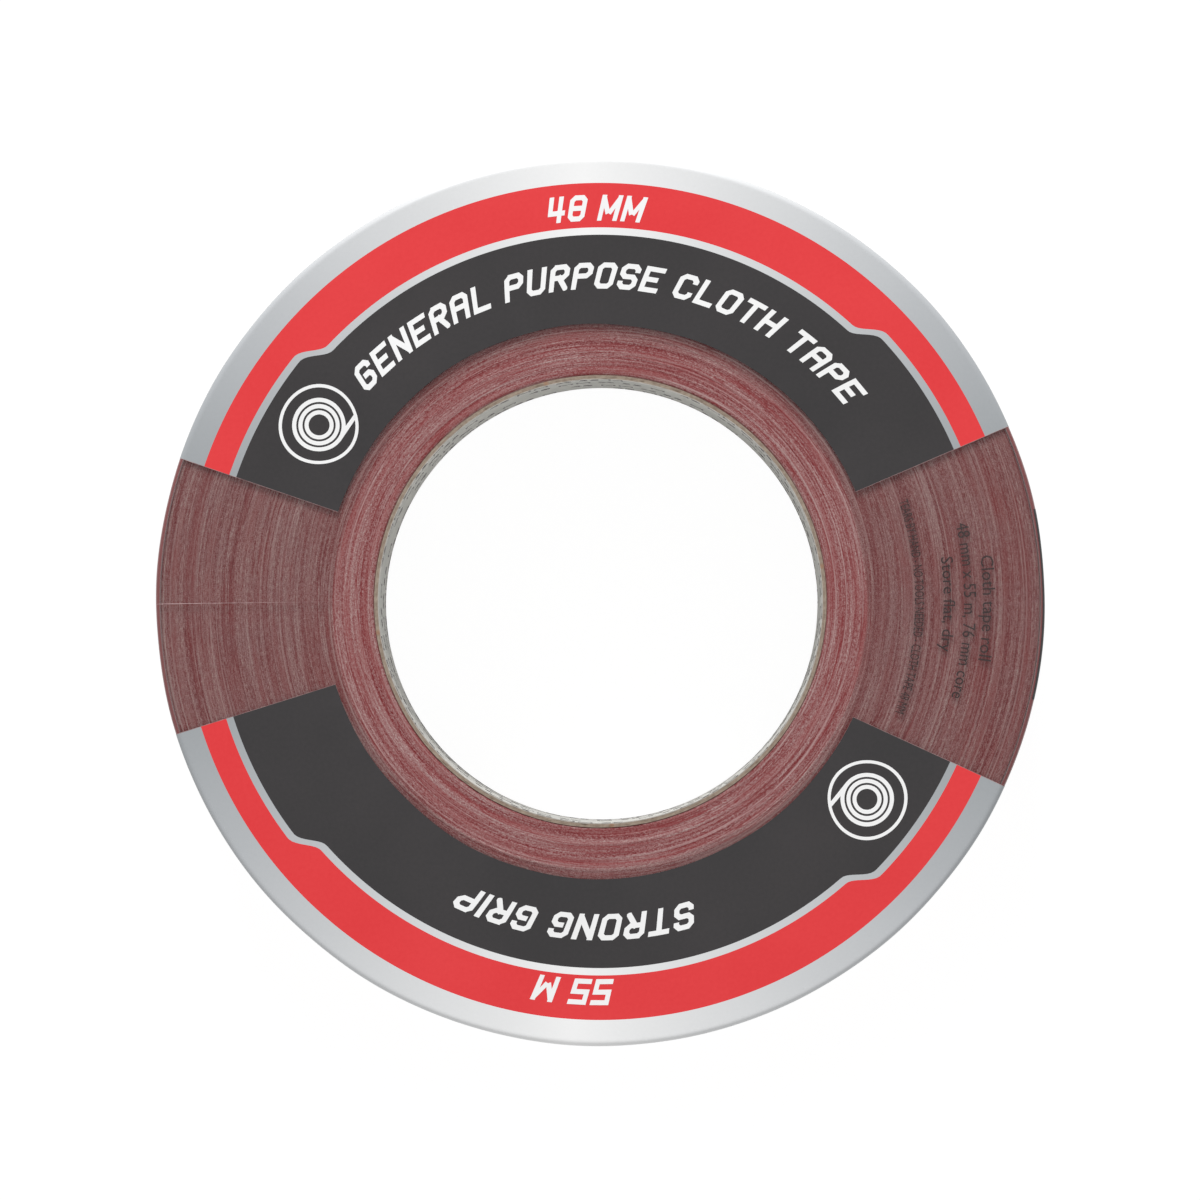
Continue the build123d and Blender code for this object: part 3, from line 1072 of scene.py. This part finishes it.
def panel_lettering(white):
    """The size in each red band, the description in each black field, and both again on the wall."""
    for panel, words in PANEL_WORDS.items():
        line_width = radians(words.line_span_deg) * (LINE_BASE_R + LINE_CAP / 2)
        for face, side in {"front": 1, "back": -1}.items():
            size = fitted(block_text(words.size), SIZE_CAP, words.size_width)
            spot = on_face(words.size_r - SIZE_CAP / 2, words.size_deg, SIZE_CAP, side)
            lay(f"{panel}_{face}_size_lettering", size, spot, white, "silver_ink")
            line = fitted(block_text(words.line), LINE_CAP, line_width)
            spot = on_face(LINE_BASE_R, words.line_deg, LINE_CAP, side)
            lay(f"{panel}_{face}_line_lettering", line, spot, white, "silver_ink")
            spot = on_face(BADGE_R, words.badge_deg, 0, side)
            lay(f"{panel}_{face}_roll_badge", roll_badge(), spot, white, "silver_ink")
        for number, (text, cap, width, height) in enumerate(WALL_LINES, 1):
            line = sliced(fitted(block_text(text), cap, width), width)
            spot = on_wall(mid_z + height, panel_layout(panel).centre_deg, cap)
            lay(f"{panel}_wall_lettering_{number}", line, spot, white, "silver_ink")


def roll_badge():
    """A small picture of a roll of tape in a ring: circles, and one straight loose end."""
    outlines = []
    for radius, wide in BADGE_RINGS:
        for start in (0, pi):
            turn = np.linspace(start, start + pi, BADGE_STEPS)
            half_circle = radius * np.stack([np.cos(turn), np.sin(turn)], axis=1)
            outlines.append(stroke_outline(half_circle, wide / 2))
    tail_y, tail_wide = -BADGE_RINGS[1][0], BADGE_RINGS[1][1]
    outlines.append(stroke_outline(np.array([[0, tail_y], [BADGE_TAIL, tail_y]]), tail_wide / 2))
    mesh = flat_shape(outlines)
    mesh.vertices.foreach_set("co", (mesh_points(mesh) * (MM, MM, 1)).ravel())
    return mesh


def window_lettering(dark):
    """Four small lines in the clear window beside the panels, in thin dark letters."""
    for number, (words, middle_r, cap, deg, span_deg) in enumerate(WINDOW_LINES, 1):
        letters = fitted(plain_text(words), cap, radians(span_deg) * middle_r)
        spot = on_face(middle_r - cap / 2, deg, cap, 1, FILM_T - INK_T)
        lay(f"window_line_{number}", letters, spot, dark, "black_ink")


def info_lettering(white):
    """Plain lines on the information panel on the wall."""
    for number, words in enumerate(INFO_LINES, 1):
        height = mid_z + ((len(INFO_LINES) + 1) / 2 - number) * INFO_PITCH
        letters = fitted(plain_text(words), INFO_CAP, len(words) * INFO_LETTER_W)
        spot = on_wall(height, (info.deg_from + info.deg_to) / 2, INFO_CAP)
        lay(f"info_line_{number}", letters, spot, white, "silver_ink")


def liner_lettering(dark):
    """Rows of print round the bore, each row a few groups of letters, the rows staggered."""
    words = LINER_GAP.join([LINER_WORDS] * LINER_GROUPS)
    width = FULL_TURN * liner.r_in * LINER_FILL
    for row, depth in enumerate(LINER_ROW_DEPTHS):
        spot = in_bore(liner.z_high - depth, LINER_ROW_SHIFT_DEG * row)
        letters = fitted(plain_text(words), LINER_CAP, width)
        lay(f"liner_print_row_{row + 1}", letters, spot, dark, "black_ink")


# ==== stage ====


SURROUND_LIGHT = 0.59  # strength of the white surround as light; where it is seen, it is 1
FLOOR_HALF = 3.0  # metres
FLOOR_GLOW = 0.955  # of the seen floor, which also takes a little light and so shows shadows
FLOOR_PALE = (0.8, 0.8, 0.8, 1.0)
FLOOR_DULL = (0.1, 0.1, 0.1, 1.0)
LAMP_PLACE = (-0.25, 1.70, 1.05)
LAMP_SIZE = 0.7
LAMP_POWER = 29.0
LENS_MM = 292.7
SENSOR_MM = 36
CAMERA_FAR = 10.0
CAMERA_PLACE = (8.75 * MM, -14.8 * MM, roll_h + 1675 * MM)
CAMERA_AIM = (-0.05 * MM, 0.22 * MM, roll_h)


def seen_share(tree):
    """One for rays that the camera, a reflection or a clear piece sees, and none for light itself."""
    rays = add(tree, "ShaderNodeLightPath", {}).outputs
    seen = calc(tree, "MAXIMUM", rays["Is Camera Ray"], rays["Is Glossy Ray"])
    return calc(tree, "MAXIMUM", seen, rays["Is Transmission Ray"])


def floor():
    """A wide pale floor that shows as white, with the roll's faint shadow."""
    mesh = bpy.data.meshes.new("floor")
    corners = [(FLOOR_HALF * x, FLOOR_HALF * y, 0) for x, y in ((-1, -1), (1, -1), (1, 1), (-1, 1))]
    mesh.from_pydata(corners, [], [(0, 1, 2, 3)])
    made = bpy.data.objects.new("floor", mesh)
    bpy.context.scene.collection.objects.link(made)
    material, tree, output = new_material("floor_white")
    pale = add(tree, "ShaderNodeBsdfDiffuse", {"Color": FLOOR_PALE}).outputs[0]
    dull = add(tree, "ShaderNodeBsdfDiffuse", {"Color": FLOOR_DULL}).outputs[0]
    glow = add(tree, "ShaderNodeEmission", {"Strength": FLOOR_GLOW}).outputs[0]
    white = add(tree, "ShaderNodeAddShader", {0: dull, 1: glow}).outputs[0]
    mixed = add(tree, "ShaderNodeMixShader", {0: seen_share(tree), 1: pale, 2: white}).outputs[0]
    tree.links.new(mixed, output.inputs[0])
    mesh.materials.append(material)


def far_lamp():
    """A soft square lamp beyond the far side of the roll, facing the roll's middle."""
    data = bpy.data.lights.new("far_lamp", "AREA")
    data.size = LAMP_SIZE
    data.energy = LAMP_POWER
    lamp = bpy.data.objects.new("far_lamp", data)
    lamp.location = LAMP_PLACE
    facing = Vector((0, 0, mid_z)) - Vector(LAMP_PLACE)
    lamp.rotation_mode = "QUATERNION"
    lamp.rotation_quaternion = facing.to_track_quat("-Z", "Y")
    bpy.context.scene.collection.objects.link(lamp)


def surround():
    """An even white surround."""
    world = bpy.data.worlds.new("surround")
    bpy.context.scene.world = world
    world.use_nodes = True
    tree = world.node_tree
    strength = remap(tree, seen_share(tree), 0.0, 1.0, SURROUND_LIGHT, 1.0)
    background = tree.nodes["Background"]
    background.inputs["Color"].default_value = (1, 1, 1, 1)
    tree.links.new(strength, background.inputs["Strength"])


def camera():
    """A long lens, almost straight above the roll."""
    data = bpy.data.cameras.new("camera")
    data.lens = LENS_MM
    data.sensor_width = SENSOR_MM
    data.clip_end = CAMERA_FAR
    made = bpy.data.objects.new("camera", data)
    made.location = CAMERA_PLACE
    back = (Vector(CAMERA_PLACE) - Vector(CAMERA_AIM)).normalized()
    right = Vector((0, 1, 0)).cross(back).normalized()
    made.rotation_mode = "QUATERNION"
    made.rotation_quaternion = Matrix((right, back.cross(right), back)).transposed().to_quaternion()
    bpy.context.scene.collection.objects.link(made)
    bpy.context.scene.camera = made
    bpy.context.scene.view_settings.view_transform = "Standard"


camera()
surround()
far_lamp()
floor()
paper_tubes()
wound_tape()
last_turn()
clear_sleeve()
# The weld's pale finish also paints the highlights at the panels' cut ends.
weld_and_edge_highlight = seam_finish()
seam_bead(weld_and_edge_highlight)
red_ink = ink_finish("red_ink", srgb(227, 55, 59), srgb(232, 63, 66))
black_ink = ink_finish("black_ink", srgb(49, 47, 48), srgb(56, 53, 54))
white_ink = ink_finish("white_ink", srgb(246, 246, 246), srgb(252, 252, 252), 0.5, 0.2)
for panel_name in ("upper", "lower"):
    panel_print(panel_name, red_ink, black_ink)
    panel_end_highlights(panel_name, weld_and_edge_highlight)
info_print(black_ink)
panel_lettering(white_ink)
dark_ink = ink_finish("fine_print_ink", srgb(50, 40, 40), srgb(66, 54, 54))
window_lettering(dark_ink)
info_lettering(white_ink)
liner_lettering(dark_ink)
